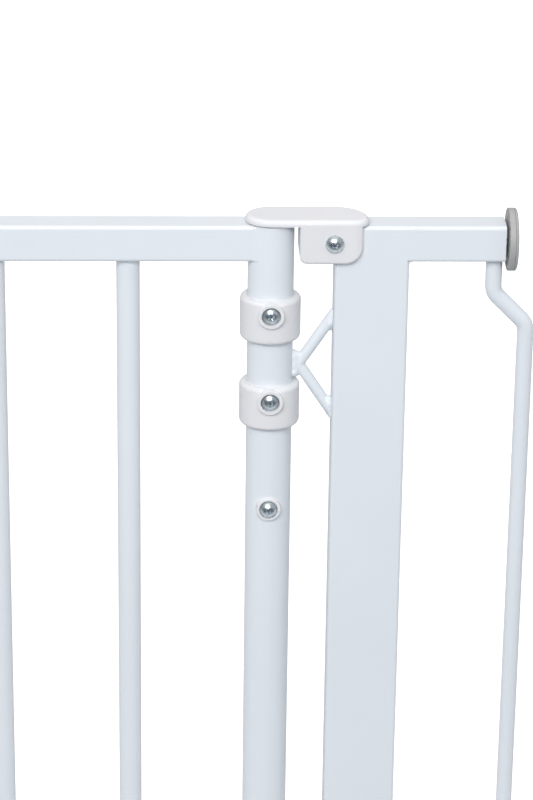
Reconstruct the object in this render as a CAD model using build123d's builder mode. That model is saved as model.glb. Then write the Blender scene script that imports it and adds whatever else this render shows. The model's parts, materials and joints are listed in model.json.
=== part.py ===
"""Pressure-mounted pet gate: a tubular steel frame held between two walls by four screw pads,
with a self-closing barred door that turns on a tube hinge and latches at top and bottom.

Frame of the model: X across the opening (hinge side at +X), Y through it (front at -Y), Z up.
Origin: middle of the gate, level with the lowest edge of the wall pads. Millimetres.
"""
import os
from math import atan2, cos, degrees, hypot, radians, sin

from build123d import *

os.makedirs("parts", exist_ok=True)

# ---------------------------------------------------------------- driving dimensions
RAIL = 20.0                 # square tube of the rails and of the latch stile
WALL = 1.5                  # wall of every tube
RAIL_CORNER = 2.0           # outer corner radius of the square tube
POST_WIDTH = 40.0           # flat-sided posts, as deep as the rails
TUBE_RADIUS = 12.5          # round hinge tube
BAR_RADIUS = 6.35           # door bars
ROD_RADIUS = 4.5            # cranked side rods

BAR_COUNT = 6
BAR_PITCH = 72.4
BAR_GAP = BAR_PITCH - 2 * BAR_RADIUS        # clear gap between bars
HINGE_TO_BAR = 76.8                         # hinge axis to the nearest bar
HINGE_TO_POST = 34.0                        # hinge axis to the post's inner face
LATCH_GAP = 9.0                             # latch stile to the opposite post
RAIL_STUB = 51.5                            # top rail beyond each post

PAD_RADIUS = 17.0
HEIGHT = 760.0                              # top of the rails
DOOR_LIFT = 12.0                            # door's bottom rail above the frame's

# ---------------------------------------------------------------- levels and stations
BOTTOM_UNDER = PAD_RADIUS - RAIL / 2
BOTTOM_TOP = BOTTOM_UNDER + RAIL
BOTTOM_AXIS = PAD_RADIUS
TOP_UNDER = HEIGHT - RAIL
TOP_AXIS = HEIGHT - RAIL / 2
DOOR_BOTTOM = BOTTOM_TOP + DOOR_LIFT
SILL_TOP = DOOR_BOTTOM + RAIL

STILE_TO_HINGE = HINGE_TO_BAR + (BAR_COUNT - 1) * BAR_PITCH + BAR_RADIUS + BAR_GAP + RAIL / 2
PASSAGE = STILE_TO_HINGE + RAIL / 2 + LATCH_GAP + HINGE_TO_POST
POST_FACE = PASSAGE / 2                     # inner face of either post, from the middle
POST_X = POST_FACE + POST_WIDTH / 2
RAIL_END = POST_FACE + POST_WIDTH + RAIL_STUB
HINGE_X = POST_FACE - HINGE_TO_POST
STILE_X = HINGE_X - STILE_TO_HINGE
STILE_OUTER = STILE_X - RAIL / 2

# ---------------------------------------------------------------- fits
RUNNING = 0.05              # radial clearance of a turning or sliding fit
FREE = 0.35                 # clearance between pieces that pass each other
CUT = 1.0                   # how far a cut runs on past the face it opens
TUBE_BORE = TUBE_RADIUS - WALL
PLUG_RADIUS = TUBE_BORE - RUNNING
PLUG_SQUARE = RAIL - 2 * WALL - 2 * RUNNING
COPE_RADIUS = TUBE_RADIUS + RUNNING
RAIL_INTO_TUBE = 7.0        # a coped rail's end, short of the hinge axis

# ---------------------------------------------------------------- screws and rivets
SHANK_RADIUS = 2.3
PILOT_RADIUS = 2.4          # hole that a screw bites in
PASS_RADIUS = 2.7           # hole that a screw passes through
SCREW_LENGTH = 12.0
HEAD_RADIUS = 5.0
HEAD_HEIGHT = 3.5
HEAD_RIM = 0.9              # straight side of the head under its dome
RECESS_ARM = 5.0            # cross recess, tip to tip
RECESS_WIDTH = 1.4
RECESS_FLOOR = 1.5          # bottom of the recess above the head's seat
RECESS_NARROWING = 0.4      # the recess is this much smaller at its floor
RECESS_FLARE = -8           # degrees that its walls lean outwards
RIVET_RADIUS = 1.6
RIVET_HEAD = 3.2
RIVET_HEIGHT = 1.2
RIVET_SUNK = 0.6            # the head lies this far below the face around it
RIVET_CLEAR = 0.1

# ---------------------------------------------------------------- hinge levels
PASSING_GAP = 0.8                           # between the ends of neighbouring hinge tubes
UPPER_TUBE_FOOT = HEIGHT - 54.0
FIXED_TUBE_TOP = UPPER_TUBE_FOOT - PASSING_GAP
FIXED_TUBE_FOOT = HEIGHT - 104.0
LOWER_TUBE_TOP = FIXED_TUBE_FOOT - PASSING_GAP
COLLAR_RADIUS = 16.5
COLLAR_HEIGHT = 24.2
COLLAR_EDGE = 2.4
COLLAR_BOSS_RADIUS = 7.2
COLLAR_BOSS_FRONT = -18.0
COLLAR_SEAT = -15.2                         # face that a collar screw's head bears on
COLLAR_BORE = HEAD_RADIUS + 0.2
SCREW_BELOW_COLLAR_TOP = 7.1
UPPER_COLLAR_TOP = HEIGHT - 41.2
LOWER_COLLAR_TOP = HEIGHT - 90.8
UPPER_SCREW_Z = UPPER_COLLAR_TOP - SCREW_BELOW_COLLAR_TOP
LOWER_SCREW_Z = LOWER_COLLAR_TOP - SCREW_BELOW_COLLAR_TOP
STEP_UP = 0.4               # a plug's shoulder above the end of its tube
ANCHOR_SCREW_Z = HEIGHT - 162.6
STEM_RADIUS = 8.0                           # bearing stems between the hinge plugs
SPIGOT_RADIUS = 7.0
PIVOT_RADIUS = 6.0

# ---------------------------------------------------------------- hinge cap and latch shells
SHELL_HALF = 14.0                           # half depth of the plastic shells
SHELL_SKIRT = HEIGHT - 20.0
RAIL_SLOT = RAIL / 2 + 2 * RUNNING          # half width of the channel that takes a rail
CAP_UNDER = HEIGHT + 1.0
CAP_TOP = HEIGHT + 4.4
CAP_REACH = 52.0
TAB_START = HINGE_X + 14.9
TAB_END = HINGE_X + 48.6
STUB_START = HINGE_X + 17.2                 # end of the top rail inside the cap
CAP_SCREW_X = HINGE_X + 33.5
CAP_SCREW_Z = HEIGHT - 8.2

# ---------------------------------------------------------------- latch
BOLT_TRAVEL = 12.0
DROP_TRAVEL = 8.0
BOLT_HALF = 6.0
BOLT_LOW = HEIGHT + 1.0
BOLT_HIGH = HEIGHT + 15.0
BOLT_NOSE_X = STILE_OUTER - 4.4
BOLT_TAIL_X = BOLT_NOSE_X + 60.0
HOUSING_NOSE_X = STILE_OUTER - 4.9
HOUSING_TAIL_X = HOUSING_NOSE_X + 74.0
HOUSING_TOP = HEIGHT + 19.0
CAVITY_TOP = BOLT_HIGH + 0.4
BUTTON_X = BOLT_TAIL_X - 13.0
BUTTON_STEM = (10.0, 8.0)
DROP_RADIUS = 3.0
PIN_RADIUS = 2.0
PIN_HALF = 5.6
PIN_Z = BOLT_HIGH - 4.0                     # cross pin with the drop rod up
KEEPER_FACE = -POST_FACE + 1.7
KEEPER_TAIL = KEEPER_FACE - 36.0
POCKET_DEPTH = 14.0
POCKET_GAP = 0.6
SOCKET_TOP = DOOR_BOTTOM - 4.0


# ================================================================ helpers
def upright_section(origin, outward):
    """Plane through an axis: its x runs radially and its y along the outward direction."""
    seat = Plane(origin=origin, z_dir=outward)
    return Plane(origin=origin, x_dir=seat.x_dir, z_dir=-seat.y_dir)


def domed_screw(origin, outward, head_radius=HEAD_RADIUS, length=SCREW_LENGTH):
    """Pan-head screw with a cross recess; origin is on the face that its head bears on."""
    rim = (head_radius, HEAD_RIM)
    crown = (0, HEAD_HEIGHT)
    with BuildPart() as screw:
        with BuildSketch(upright_section(origin, outward)):
            with BuildLine():
                Polyline(crown, (0, -length), (SHANK_RADIUS / 3, -length),
                         (SHANK_RADIUS, -length + SHANK_RADIUS), (SHANK_RADIUS, 0),
                         (head_radius, 0), rim)
                TangentArc(crown, rim, tangent=(1, 0))
            make_face()
        revolve(axis=Axis(origin, outward))
        for arms in ((RECESS_ARM, RECESS_WIDTH), (RECESS_WIDTH, RECESS_ARM)):
            with BuildSketch(Plane(origin=origin, z_dir=outward).offset(RECESS_FLOOR)) as arm:
                Rectangle(arms[0] - RECESS_NARROWING, arms[1] - RECESS_NARROWING)
            extrude(arm.sketch, amount=HEAD_HEIGHT, taper=RECESS_FLARE, mode=Mode.SUBTRACT)
    return screw.part


def square_tube(section, length, width=RAIL):
    """Adds a flat-sided tube with rounded corners to the part being built."""
    with BuildSketch(section) as profile:
        RectangleRounded(width, RAIL, RAIL_CORNER)
        RectangleRounded(width - 2 * WALL, RAIL - 2 * WALL, RAIL_CORNER - WALL, mode=Mode.SUBTRACT)
    extrude(profile.sketch, amount=length)


def disc(low, high, radius, mode=Mode.ADD, at=(HINGE_X, 0)):
    """Adds or cuts an upright round bar between two levels, on the hinge axis by default."""
    with BuildSketch(Plane.XY.offset(low)) as profile:
        with Locations(at):
            Circle(radius)
    extrude(profile.sketch, amount=high - low, mode=mode)


def ring(low, high, outer, bore):
    """Adds an upright ring on the hinge axis between two levels."""
    disc(low, high, outer)
    disc(low, high, bore, Mode.SUBTRACT)


def front_hole(x, z, radius, front, back):
    """Drills a hole along Y, from one depth to another."""
    with BuildSketch(Plane.XZ.offset(-front)) as profile:
        with Locations((x, z)):
            Circle(radius)
    extrude(profile.sketch, amount=front - back, mode=Mode.SUBTRACT)


def block(low, high, mode=Mode.ADD):
    """Adds or cuts the block between two opposite corners."""
    size = [b - a for a, b in zip(low, high)]
    centre = tuple((a + b) / 2 for a, b in zip(low, high))
    with Locations(centre):
        Box(*size, mode=mode)


def rail_section(x, z):
    """Section plane of a rail that runs along +X from station x, its axis at level z."""
    return Plane(origin=(x, 0, z), x_dir=(0, 1, 0), z_dir=(1, 0, 0))


def upright_plane(x, z):
    """Section plane of a post that rises from level z at station x."""
    return Plane(origin=(x, 0, z))


# ================================================================ FRAME
PIVOT_SHANK = 4.0
RIVET_STEP = 9.0
RIVET_STATIONS = [STILE_X - RIVET_STEP, STILE_X + RIVET_STEP]

with BuildPart() as bottom_rail:
    square_tube(rail_section(-RAIL_END, BOTTOM_AXIS), 2 * RAIL_END)
    disc(BOTTOM_AXIS, BOTTOM_TOP + CUT, PIVOT_SHANK + RIVET_CLEAR, Mode.SUBTRACT)
    for station in RIVET_STATIONS:
        disc(BOTTOM_AXIS, BOTTOM_TOP + CUT, RIVET_RADIUS + RIVET_CLEAR, Mode.SUBTRACT,
             (station, 0))
bottom_rail.part.label = "bottom_rail"
export_step(bottom_rail.part, "parts/bottom_rail.step")

for side, name in ((-1, "left_post"), (1, "right_post")):
    with BuildPart() as post:
        square_tube(upright_plane(side * POST_X, BOTTOM_TOP), TOP_UNDER - BOTTOM_TOP, POST_WIDTH)
    post.part.label = name
    export_step(post.part, f"parts/{name}.step")

with BuildPart() as top_rail_right:
    square_tube(rail_section(STUB_START, TOP_AXIS), RAIL_END - STUB_START)
    front_hole(CAP_SCREW_X, CAP_SCREW_Z, PILOT_RADIUS, -RAIL / 2 - CUT, 0)
top_rail_right.part.label = "top_rail_right"
export_step(top_rail_right.part, "parts/top_rail_right.step")

KEEPER_SCREW_X = KEEPER_FACE - 19.2

with BuildPart() as top_rail_left:
    square_tube(rail_section(-RAIL_END, TOP_AXIS), RAIL_END - POST_FACE)
    front_hole(KEEPER_SCREW_X, CAP_SCREW_Z, PILOT_RADIUS, -RAIL / 2 - CUT, 0)
top_rail_left.part.label = "top_rail_left"
export_step(top_rail_left.part, "parts/top_rail_left.step")

# Side rods: each end stands on a rail and cranks outwards past the wall pads.
ROD_INNER = HINGE_X + 120.5
ROD_OUTER = HINGE_X + 139.0
ROD_STRAIGHT = 19.8                         # from the rail to the first bend
ROD_CRANK = ROD_OUTER - ROD_INNER           # 45 degree crank: as high as it is wide
ROD_BEND = 9.0

for side, name in ((-1, "left_rod"), (1, "right_rod")):
    with BuildPart() as rod:
        with BuildLine():
            FilletPolyline(
                (side * ROD_INNER, 0, TOP_UNDER),
                (side * ROD_INNER, 0, TOP_UNDER - ROD_STRAIGHT),
                (side * ROD_OUTER, 0, TOP_UNDER - ROD_STRAIGHT - ROD_CRANK),
                (side * ROD_OUTER, 0, BOTTOM_TOP + ROD_STRAIGHT + ROD_CRANK),
                (side * ROD_INNER, 0, BOTTOM_TOP + ROD_STRAIGHT),
                (side * ROD_INNER, 0, BOTTOM_TOP),
                radius=ROD_BEND,
            )
        with BuildSketch(Plane(origin=(side * ROD_INNER, 0, TOP_UNDER), z_dir=(0, 0, -1))):
            Circle(ROD_RADIUS)
        sweep()
    rod.part.label = name
    export_step(rod.part, f"parts/{name}.step")

# V bracket: two arms of round rod from the fixed hinge tube to the post, with a web of weld metal.
BRACKET_RADIUS = 3.0
BRACKET_ANGLE = 56.5
BRACKET_VERTEX = (HINGE_X + 15.7, 0, HEIGHT - 81.3)
BRACKET_ARM = 40.0
WEB_HALF_HEIGHT = 7.4
WEB_HALF_DEPTH = 2.4
WEB_NOSE = (2.2, 5.2)                       # where the web ends between the arms
WEB_ROOT = -8.0                             # inside the hinge tube's cope
BRACKET_SPAN = (BRACKET_VERTEX[2] - BRACKET_ARM, BRACKET_VERTEX[2] + BRACKET_ARM)

with BuildPart() as hinge_bracket:
    for side in (-1, 1):
        arm = (cos(radians(BRACKET_ANGLE)), 0, side * sin(radians(BRACKET_ANGLE)))
        with BuildSketch(Plane(origin=BRACKET_VERTEX, z_dir=arm)):
            Circle(BRACKET_RADIUS)
        extrude(amount=BRACKET_ARM)
    with Locations(BRACKET_VERTEX):
        Sphere(BRACKET_RADIUS)
    with BuildSketch(Plane(origin=BRACKET_VERTEX, x_dir=(1, 0, 0), z_dir=(0, -1, 0))):
        Polygon((WEB_ROOT, -WEB_HALF_HEIGHT), (WEB_NOSE[0], -WEB_NOSE[1]), WEB_NOSE,
                (WEB_ROOT, WEB_HALF_HEIGHT), align=None)
    extrude(amount=WEB_HALF_DEPTH, both=True)
    disc(*BRACKET_SPAN, COPE_RADIUS, Mode.SUBTRACT)
    block((HINGE_X - BRACKET_ARM, -RAIL, BRACKET_SPAN[0]), (HINGE_X, RAIL, BRACKET_SPAN[1]),
          Mode.SUBTRACT)
    block((POST_FACE, -RAIL, BRACKET_SPAN[0]), (POST_FACE + POST_WIDTH, RAIL, BRACKET_SPAN[1]),
          Mode.SUBTRACT)
hinge_bracket.part.label = "hinge_bracket"
export_step(hinge_bracket.part, "parts/hinge_bracket.step")

with BuildPart() as fixed_hinge_tube:
    ring(FIXED_TUBE_FOOT, FIXED_TUBE_TOP, TUBE_RADIUS, TUBE_BORE)
    front_hole(HINGE_X, LOWER_SCREW_Z, PILOT_RADIUS, -TUBE_RADIUS - CUT, 0)
fixed_hinge_tube.part.label = "fixed_hinge_tube"
export_step(fixed_hinge_tube.part, "parts/fixed_hinge_tube.step")

# Hinge cap: a tongue over the hinge tube, a channel clamped on the rail stub, and the top pivot.
CAP_FRONT_CORNER = 8.0
CAP_BACK_CORNER = 18.0
TAB_INNER_CORNER = 4.0
TAB_OUTER_CORNER = 9.5
SPIGOT_FOOT = HEIGHT - 19.0
SHELL_EDGE = 1.0
CAP_EDGE = 2.6
TAB_EDGE = 1.8

with BuildPart() as hinge_cap:
    with BuildSketch(Plane.XY.offset(CAP_UNDER)) as tongue:
        with Locations((HINGE_X, 0)):
            Circle(SHELL_HALF)
        with Locations((HINGE_X + CAP_REACH / 2, 0)):
            Rectangle(CAP_REACH, 2 * SHELL_HALF)
        fillet(tongue.vertices().group_by(Axis.X)[-1].sort_by(Axis.Y)[-1], CAP_BACK_CORNER)
        fillet(tongue.vertices().group_by(Axis.X)[-1].sort_by(Axis.Y)[0], CAP_FRONT_CORNER)
    extrude(amount=CAP_TOP - CAP_UNDER)
    fillet(hinge_cap.faces().sort_by(Axis.Z)[-1].edges(), CAP_EDGE)
    with BuildSketch(Plane.XZ.offset(-SHELL_HALF)) as tab:
        with Locations(((TAB_START + TAB_END) / 2, (SHELL_SKIRT + CAP_UNDER) / 2)):
            Rectangle(TAB_END - TAB_START, CAP_UNDER - SHELL_SKIRT)
        fillet(tab.vertices().group_by(Axis.Y)[0].sort_by(Axis.X)[0], TAB_INNER_CORNER)
        fillet(tab.vertices().group_by(Axis.Y)[0].sort_by(Axis.X)[-1], TAB_OUTER_CORNER)
    across = extrude(tab.sketch, amount=2 * SHELL_HALF, mode=Mode.PRIVATE)
    down = extrude(tongue.sketch, amount=SHELL_SKIRT - CAP_UNDER, mode=Mode.PRIVATE)
    add(across & down)
    fillet(hinge_cap.faces().sort_by(Axis.Z)[0].edges().filter_by(Axis.X), TAB_EDGE)
    block((STUB_START, -RAIL_SLOT, SHELL_SKIRT - CUT), (TAB_END + CUT, RAIL_SLOT, HEIGHT),
          Mode.SUBTRACT)
    disc(SPIGOT_FOOT, CAP_TOP - CUT, SPIGOT_RADIUS)
    front_hole(CAP_SCREW_X, CAP_SCREW_Z, PASS_RADIUS, -SHELL_HALF - CUT, 0)
hinge_cap.part.label = "hinge_cap"
export_step(hinge_cap.part, "parts/hinge_cap.step")

hinge_cap_screw = domed_screw((CAP_SCREW_X, -SHELL_HALF, CAP_SCREW_Z), (0, -1, 0))
hinge_cap_screw.label = "hinge_cap_screw"
export_step(hinge_cap_screw, "parts/hinge_cap_screw.step")

# Keeper: the same kind of shell over the other rail stub, with the pocket for the latch bolt.
KEEPER_TOP = HOUSING_TOP
KEEPER_ROUND = 7.0

with BuildPart() as keeper:
    with BuildSketch(Plane.XZ.offset(-SHELL_HALF)) as side_view:
        with Locations(((KEEPER_FACE + KEEPER_TAIL) / 2, (SHELL_SKIRT + KEEPER_TOP) / 2)):
            Rectangle(KEEPER_FACE - KEEPER_TAIL, KEEPER_TOP - SHELL_SKIRT)
        fillet(side_view.vertices().group_by(Axis.X)[0], KEEPER_ROUND)
        fillet(side_view.vertices().group_by(Axis.X)[-1], SHELL_EDGE)
    extrude(amount=2 * SHELL_HALF)
    fillet(keeper.faces().sort_by(Axis.Y)[0].edges(), SHELL_EDGE)
    fillet(keeper.faces().sort_by(Axis.Y)[-1].edges(), SHELL_EDGE)
    block((KEEPER_TAIL - CUT, -RAIL_SLOT, SHELL_SKIRT - CUT),
          (-POST_FACE + 2 * RUNNING, RAIL_SLOT, HEIGHT), Mode.SUBTRACT)
    block((KEEPER_FACE - POCKET_DEPTH, -BOLT_HALF - POCKET_GAP, HEIGHT - 2 * RUNNING),
          (KEEPER_FACE + CUT, BOLT_HALF + POCKET_GAP, BOLT_HIGH + POCKET_GAP), Mode.SUBTRACT)
    front_hole(KEEPER_SCREW_X, CAP_SCREW_Z, PASS_RADIUS, -SHELL_HALF - CUT, 0)
keeper.part.label = "keeper"
export_step(keeper.part, "parts/keeper.step")

keeper_screw = domed_screw((KEEPER_SCREW_X, -SHELL_HALF, CAP_SCREW_Z), (0, -1, 0))
keeper_screw.label = "keeper_screw"
export_step(keeper_screw, "parts/keeper_screw.step")

# Bottom keeper: a low block on the bottom rail with a slot for the nose of the drop rod.
SOCKET_LENGTH = 30.0
SOCKET_WIDTH = 18.0
SOCKET_SLOT = (11.0, 9.6)
SOCKET_RAMP = 2.6
SOCKET_CORNER = 3.0
RIVET_SEAT = SOCKET_TOP - RIVET_HEIGHT - RIVET_SUNK
RIVET_FOOT = BOTTOM_AXIS + 4.0

with BuildPart() as bottom_keeper:
    block((STILE_X - SOCKET_LENGTH / 2, -SOCKET_WIDTH / 2, BOTTOM_TOP),
          (STILE_X + SOCKET_LENGTH / 2, SOCKET_WIDTH / 2, SOCKET_TOP))
    fillet(bottom_keeper.edges().filter_by(Axis.Z), SOCKET_CORNER)
    chamfer(bottom_keeper.faces().sort_by(Axis.Z)[-1].edges(), SOCKET_RAMP)
    with Locations((STILE_X, 0, (BOTTOM_TOP + SOCKET_TOP) / 2)):
        Box(*SOCKET_SLOT, 2 * (SOCKET_TOP - BOTTOM_TOP), mode=Mode.SUBTRACT)
    for station in RIVET_STATIONS:
        disc(BOTTOM_TOP - CUT, SOCKET_TOP + CUT, RIVET_RADIUS + RIVET_CLEAR, Mode.SUBTRACT,
             (station, 0))
        disc(RIVET_SEAT, SOCKET_TOP + CUT, RIVET_HEAD + 2 * RIVET_CLEAR, Mode.SUBTRACT,
             (station, 0))
bottom_keeper.part.label = "bottom_keeper"
export_step(bottom_keeper.part, "parts/bottom_keeper.step")

with BuildPart() as bottom_keeper_rivets:
    for station in RIVET_STATIONS:
        disc(RIVET_FOOT, RIVET_SEAT, RIVET_RADIUS, at=(station, 0))
        disc(RIVET_SEAT, RIVET_SEAT + RIVET_HEIGHT, RIVET_HEAD, at=(station, 0))
bottom_keeper_rivets.part.label = "bottom_keeper_rivets"
export_step(bottom_keeper_rivets.part, "parts/bottom_keeper_rivets.step")

# ================================================================ HINGE
BOSS_BACK = -TUBE_RADIUS - 1.5
BOSS_EDGE = 0.7
COLLAR_LEDGE = 0.3          # the tight part of a collar starts this far above the tube's end


def collar(top, tube_end, screw_z):
    """Plastic ring over a joint of the hinge tube: tight above tube_end, free of the tube below."""
    foot = top - COLLAR_HEIGHT
    with BuildPart() as body:
        disc(foot, top, COLLAR_RADIUS)
        fillet(body.edges().filter_by(GeomType.CIRCLE), COLLAR_EDGE)
        with BuildSketch(Plane.XZ.offset(-BOSS_BACK)) as boss:
            with Locations((HINGE_X, screw_z)):
                Circle(COLLAR_BOSS_RADIUS)
        extrude(boss.sketch, amount=BOSS_BACK - COLLAR_BOSS_FRONT)
        fillet(body.faces().sort_by(Axis.Y)[0].edges(), BOSS_EDGE)
        disc(foot, top, TUBE_RADIUS + RUNNING, Mode.SUBTRACT)
        disc(foot, tube_end, TUBE_RADIUS + FREE, Mode.SUBTRACT)
        front_hole(HINGE_X, screw_z, COLLAR_BORE, COLLAR_BOSS_FRONT - CUT, COLLAR_SEAT)
        front_hole(HINGE_X, screw_z, PASS_RADIUS, COLLAR_BOSS_FRONT - CUT, 0)
    return body.part


COLLARS = (
    ("upper_collar", UPPER_COLLAR_TOP, UPPER_TUBE_FOOT + COLLAR_LEDGE, UPPER_SCREW_Z),
    ("lower_collar", LOWER_COLLAR_TOP, FIXED_TUBE_FOOT + COLLAR_LEDGE, LOWER_SCREW_Z),
)
for name, top, tube_end, screw_z in COLLARS:
    ring_body = collar(top, tube_end, screw_z)
    ring_body.label = name
    export_step(ring_body, f"parts/{name}.step")
    ring_screw = domed_screw((HINGE_X, COLLAR_SEAT, screw_z), (0, -1, 0))
    ring_screw.label = f"{name}_screw"
    export_step(ring_screw, f"parts/{name}_screw.step")

with BuildPart() as upper_hinge_tube:
    ring(UPPER_TUBE_FOOT, HEIGHT, TUBE_RADIUS, TUBE_BORE)
    front_hole(HINGE_X, UPPER_SCREW_Z, PILOT_RADIUS, -TUBE_RADIUS - CUT, 0)
upper_hinge_tube.part.label = "upper_hinge_tube"
export_step(upper_hinge_tube.part, "parts/upper_hinge_tube.step")

with BuildPart() as lower_hinge_tube:
    ring(DOOR_BOTTOM, LOWER_TUBE_TOP, TUBE_RADIUS, TUBE_BORE)
    front_hole(HINGE_X, ANCHOR_SCREW_Z, PILOT_RADIUS, -TUBE_RADIUS - CUT, 0)
lower_hinge_tube.part.label = "lower_hinge_tube"
export_step(lower_hinge_tube.part, "parts/lower_hinge_tube.step")

FLANGE_RADIUS = 11.9
FLANGE = 0.6
BUSH_DEPTH = 18.0

with BuildPart() as top_bush:
    disc(HEIGHT - BUSH_DEPTH, HEIGHT, PLUG_RADIUS)
    disc(HEIGHT, HEIGHT + FLANGE, FLANGE_RADIUS)
    disc(HEIGHT - BUSH_DEPTH, HEIGHT + FLANGE, SPIGOT_RADIUS + RUNNING, Mode.SUBTRACT)
top_bush.part.label = "top_bush"
export_step(top_bush.part, "parts/top_bush.step")

STEM_LENGTH = 24.0
PLUG_TOP = UPPER_TUBE_FOOT + BUSH_DEPTH

with BuildPart() as upper_pivot_plug:
    disc(UPPER_TUBE_FOOT + STEP_UP, PLUG_TOP, PLUG_RADIUS)
    disc(UPPER_TUBE_FOOT - STEM_LENGTH, UPPER_TUBE_FOOT + STEP_UP, STEM_RADIUS)
    front_hole(HINGE_X, UPPER_SCREW_Z, PILOT_RADIUS, -TUBE_RADIUS, 0)
upper_pivot_plug.part.label = "upper_pivot_plug"
export_step(upper_pivot_plug.part, "parts/upper_pivot_plug.step")

CORE_TOP = FIXED_TUBE_TOP - 0.6
CORE_STEM_FOOT = FIXED_TUBE_FOOT - 20.0
MANDREL_RADIUS = 4.5
MANDREL_FOOT = CORE_STEM_FOOT - 22.0
CORE_HOLE_END = -1.0        # the screw's hole stops just short of the axis

with BuildPart() as fixed_pivot_core:
    disc(FIXED_TUBE_FOOT + STEP_UP, CORE_TOP, PLUG_RADIUS)
    disc(CORE_STEM_FOOT, FIXED_TUBE_FOOT + STEP_UP, STEM_RADIUS)
    disc(MANDREL_FOOT, CORE_STEM_FOOT, MANDREL_RADIUS)
    disc(UPPER_TUBE_FOOT - STEM_LENGTH - CUT, CORE_TOP, STEM_RADIUS + RUNNING, Mode.SUBTRACT)
    front_hole(HINGE_X, LOWER_SCREW_Z, PILOT_RADIUS, -TUBE_RADIUS, CORE_HOLE_END)
fixed_pivot_core.part.label = "fixed_pivot_core"
export_step(fixed_pivot_core.part, "parts/fixed_pivot_core.step")

BUSH_ENDS = (CORE_STEM_FOOT + 2.0, LOWER_TUBE_TOP - 0.6)

with BuildPart() as middle_bush:
    ring(*BUSH_ENDS, PLUG_RADIUS, STEM_RADIUS + RUNNING)
middle_bush.part.label = "middle_bush"
export_step(middle_bush.part, "parts/middle_bush.step")

ANCHOR_HALF = 8.0
ANCHOR_TOP = ANCHOR_SCREW_Z + ANCHOR_HALF

with BuildPart() as spring_anchor:
    disc(ANCHOR_SCREW_Z - ANCHOR_HALF, ANCHOR_TOP, PLUG_RADIUS)
    front_hole(HINGE_X, ANCHOR_SCREW_Z, PILOT_RADIUS, -TUBE_RADIUS, 0)
spring_anchor.part.label = "spring_anchor"
export_step(spring_anchor.part, "parts/spring_anchor.step")

# Closing spring: a coil that stands on the anchor, around the core's mandrel.
WIRE_RADIUS = 1.2
SPRING_RADIUS = 8.4
SPRING_PITCH = 4.4
SPRING_FOOT = ANCHOR_TOP + WIRE_RADIUS + FREE
SPRING_HEIGHT = CORE_STEM_FOOT - FREE - WIRE_RADIUS - SPRING_FOOT

with BuildPart() as closing_spring:
    with BuildLine():
        coil = Helix(SPRING_PITCH, SPRING_HEIGHT, SPRING_RADIUS, center=(HINGE_X, 0, SPRING_FOOT))
    with BuildSketch(Plane(origin=coil @ 0, z_dir=coil % 0)):
        Circle(WIRE_RADIUS)
    sweep(is_frenet=True)
closing_spring.part.label = "closing_spring"
export_step(closing_spring.part, "parts/closing_spring.step")

# Cup washer: a raised ring, hollowed underneath to sit on the round tube.
WASHER_RADIUS = 6.8
WASHER_FRONT = -TUBE_RADIUS - 1.5
WASHER_BACK = -TUBE_RADIUS + 3.0
WASHER_EDGE = 0.8
WASHER_BORE = 5.2
ANCHOR_SEAT = -TUBE_RADIUS - 0.3
ANCHOR_HEAD = 4.75

with BuildPart() as spring_screw_washer:
    with BuildSketch(Plane.XZ.offset(-WASHER_BACK)):
        with Locations((HINGE_X, ANCHOR_SCREW_Z)):
            Circle(WASHER_RADIUS)
    extrude(amount=WASHER_BACK - WASHER_FRONT)
    fillet(spring_screw_washer.faces().sort_by(Axis.Y)[0].edges(), WASHER_EDGE)
    disc(ANCHOR_SCREW_Z - ANCHOR_HALF, ANCHOR_SCREW_Z + ANCHOR_HALF, TUBE_RADIUS + RUNNING,
         Mode.SUBTRACT)
    front_hole(HINGE_X, ANCHOR_SCREW_Z, WASHER_BORE, WASHER_FRONT - CUT, ANCHOR_SEAT)
    front_hole(HINGE_X, ANCHOR_SCREW_Z, PASS_RADIUS, WASHER_FRONT - CUT, 0)
spring_screw_washer.part.label = "spring_screw_washer"
export_step(spring_screw_washer.part, "parts/spring_screw_washer.step")

spring_anchor_screw = domed_screw((HINGE_X, ANCHOR_SEAT, ANCHOR_SCREW_Z), (0, -1, 0), ANCHOR_HEAD)
spring_anchor_screw.label = "spring_anchor_screw"
export_step(spring_anchor_screw, "parts/spring_anchor_screw.step")

# Bottom pivot: a shouldered pin on the bottom rail, in a flanged bush in the foot of the tube.
SHOULDER_RADIUS = 10.0
BUSH_FLANGE_FOOT = DOOR_BOTTOM - 1.8
SHOULDER_TOP = BUSH_FLANGE_FOOT - 0.3
PIVOT_FOOT = BOTTOM_AXIS + 3.0
PIVOT_TOP = DOOR_BOTTOM + 16.0
PIVOT_EDGE = 1.0

with BuildPart() as bottom_pivot:
    disc(PIVOT_FOOT, BOTTOM_TOP, PIVOT_SHANK)
    disc(BOTTOM_TOP, SHOULDER_TOP, SHOULDER_RADIUS)
    disc(SHOULDER_TOP, PIVOT_TOP, PIVOT_RADIUS)
    chamfer(bottom_pivot.faces().sort_by(Axis.Z)[-1].edges(), PIVOT_EDGE)
bottom_pivot.part.label = "bottom_pivot"
export_step(bottom_pivot.part, "parts/bottom_pivot.step")

with BuildPart() as bottom_bush:
    disc(BUSH_FLANGE_FOOT, DOOR_BOTTOM, FLANGE_RADIUS)
    disc(DOOR_BOTTOM, DOOR_BOTTOM + BUSH_DEPTH, PLUG_RADIUS)
    disc(BUSH_FLANGE_FOOT, DOOR_BOTTOM + BUSH_DEPTH, PIVOT_RADIUS + RUNNING, Mode.SUBTRACT)
bottom_bush.part.label = "bottom_bush"
export_step(bottom_bush.part, "parts/bottom_bush.step")

# ================================================================ DOOR
DROP_HOLE = DROP_RADIUS + 0.5
HOUSING_SCREW_STATIONS = (HOUSING_TAIL_X - 12.0, HOUSING_TAIL_X - 44.0)

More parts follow.
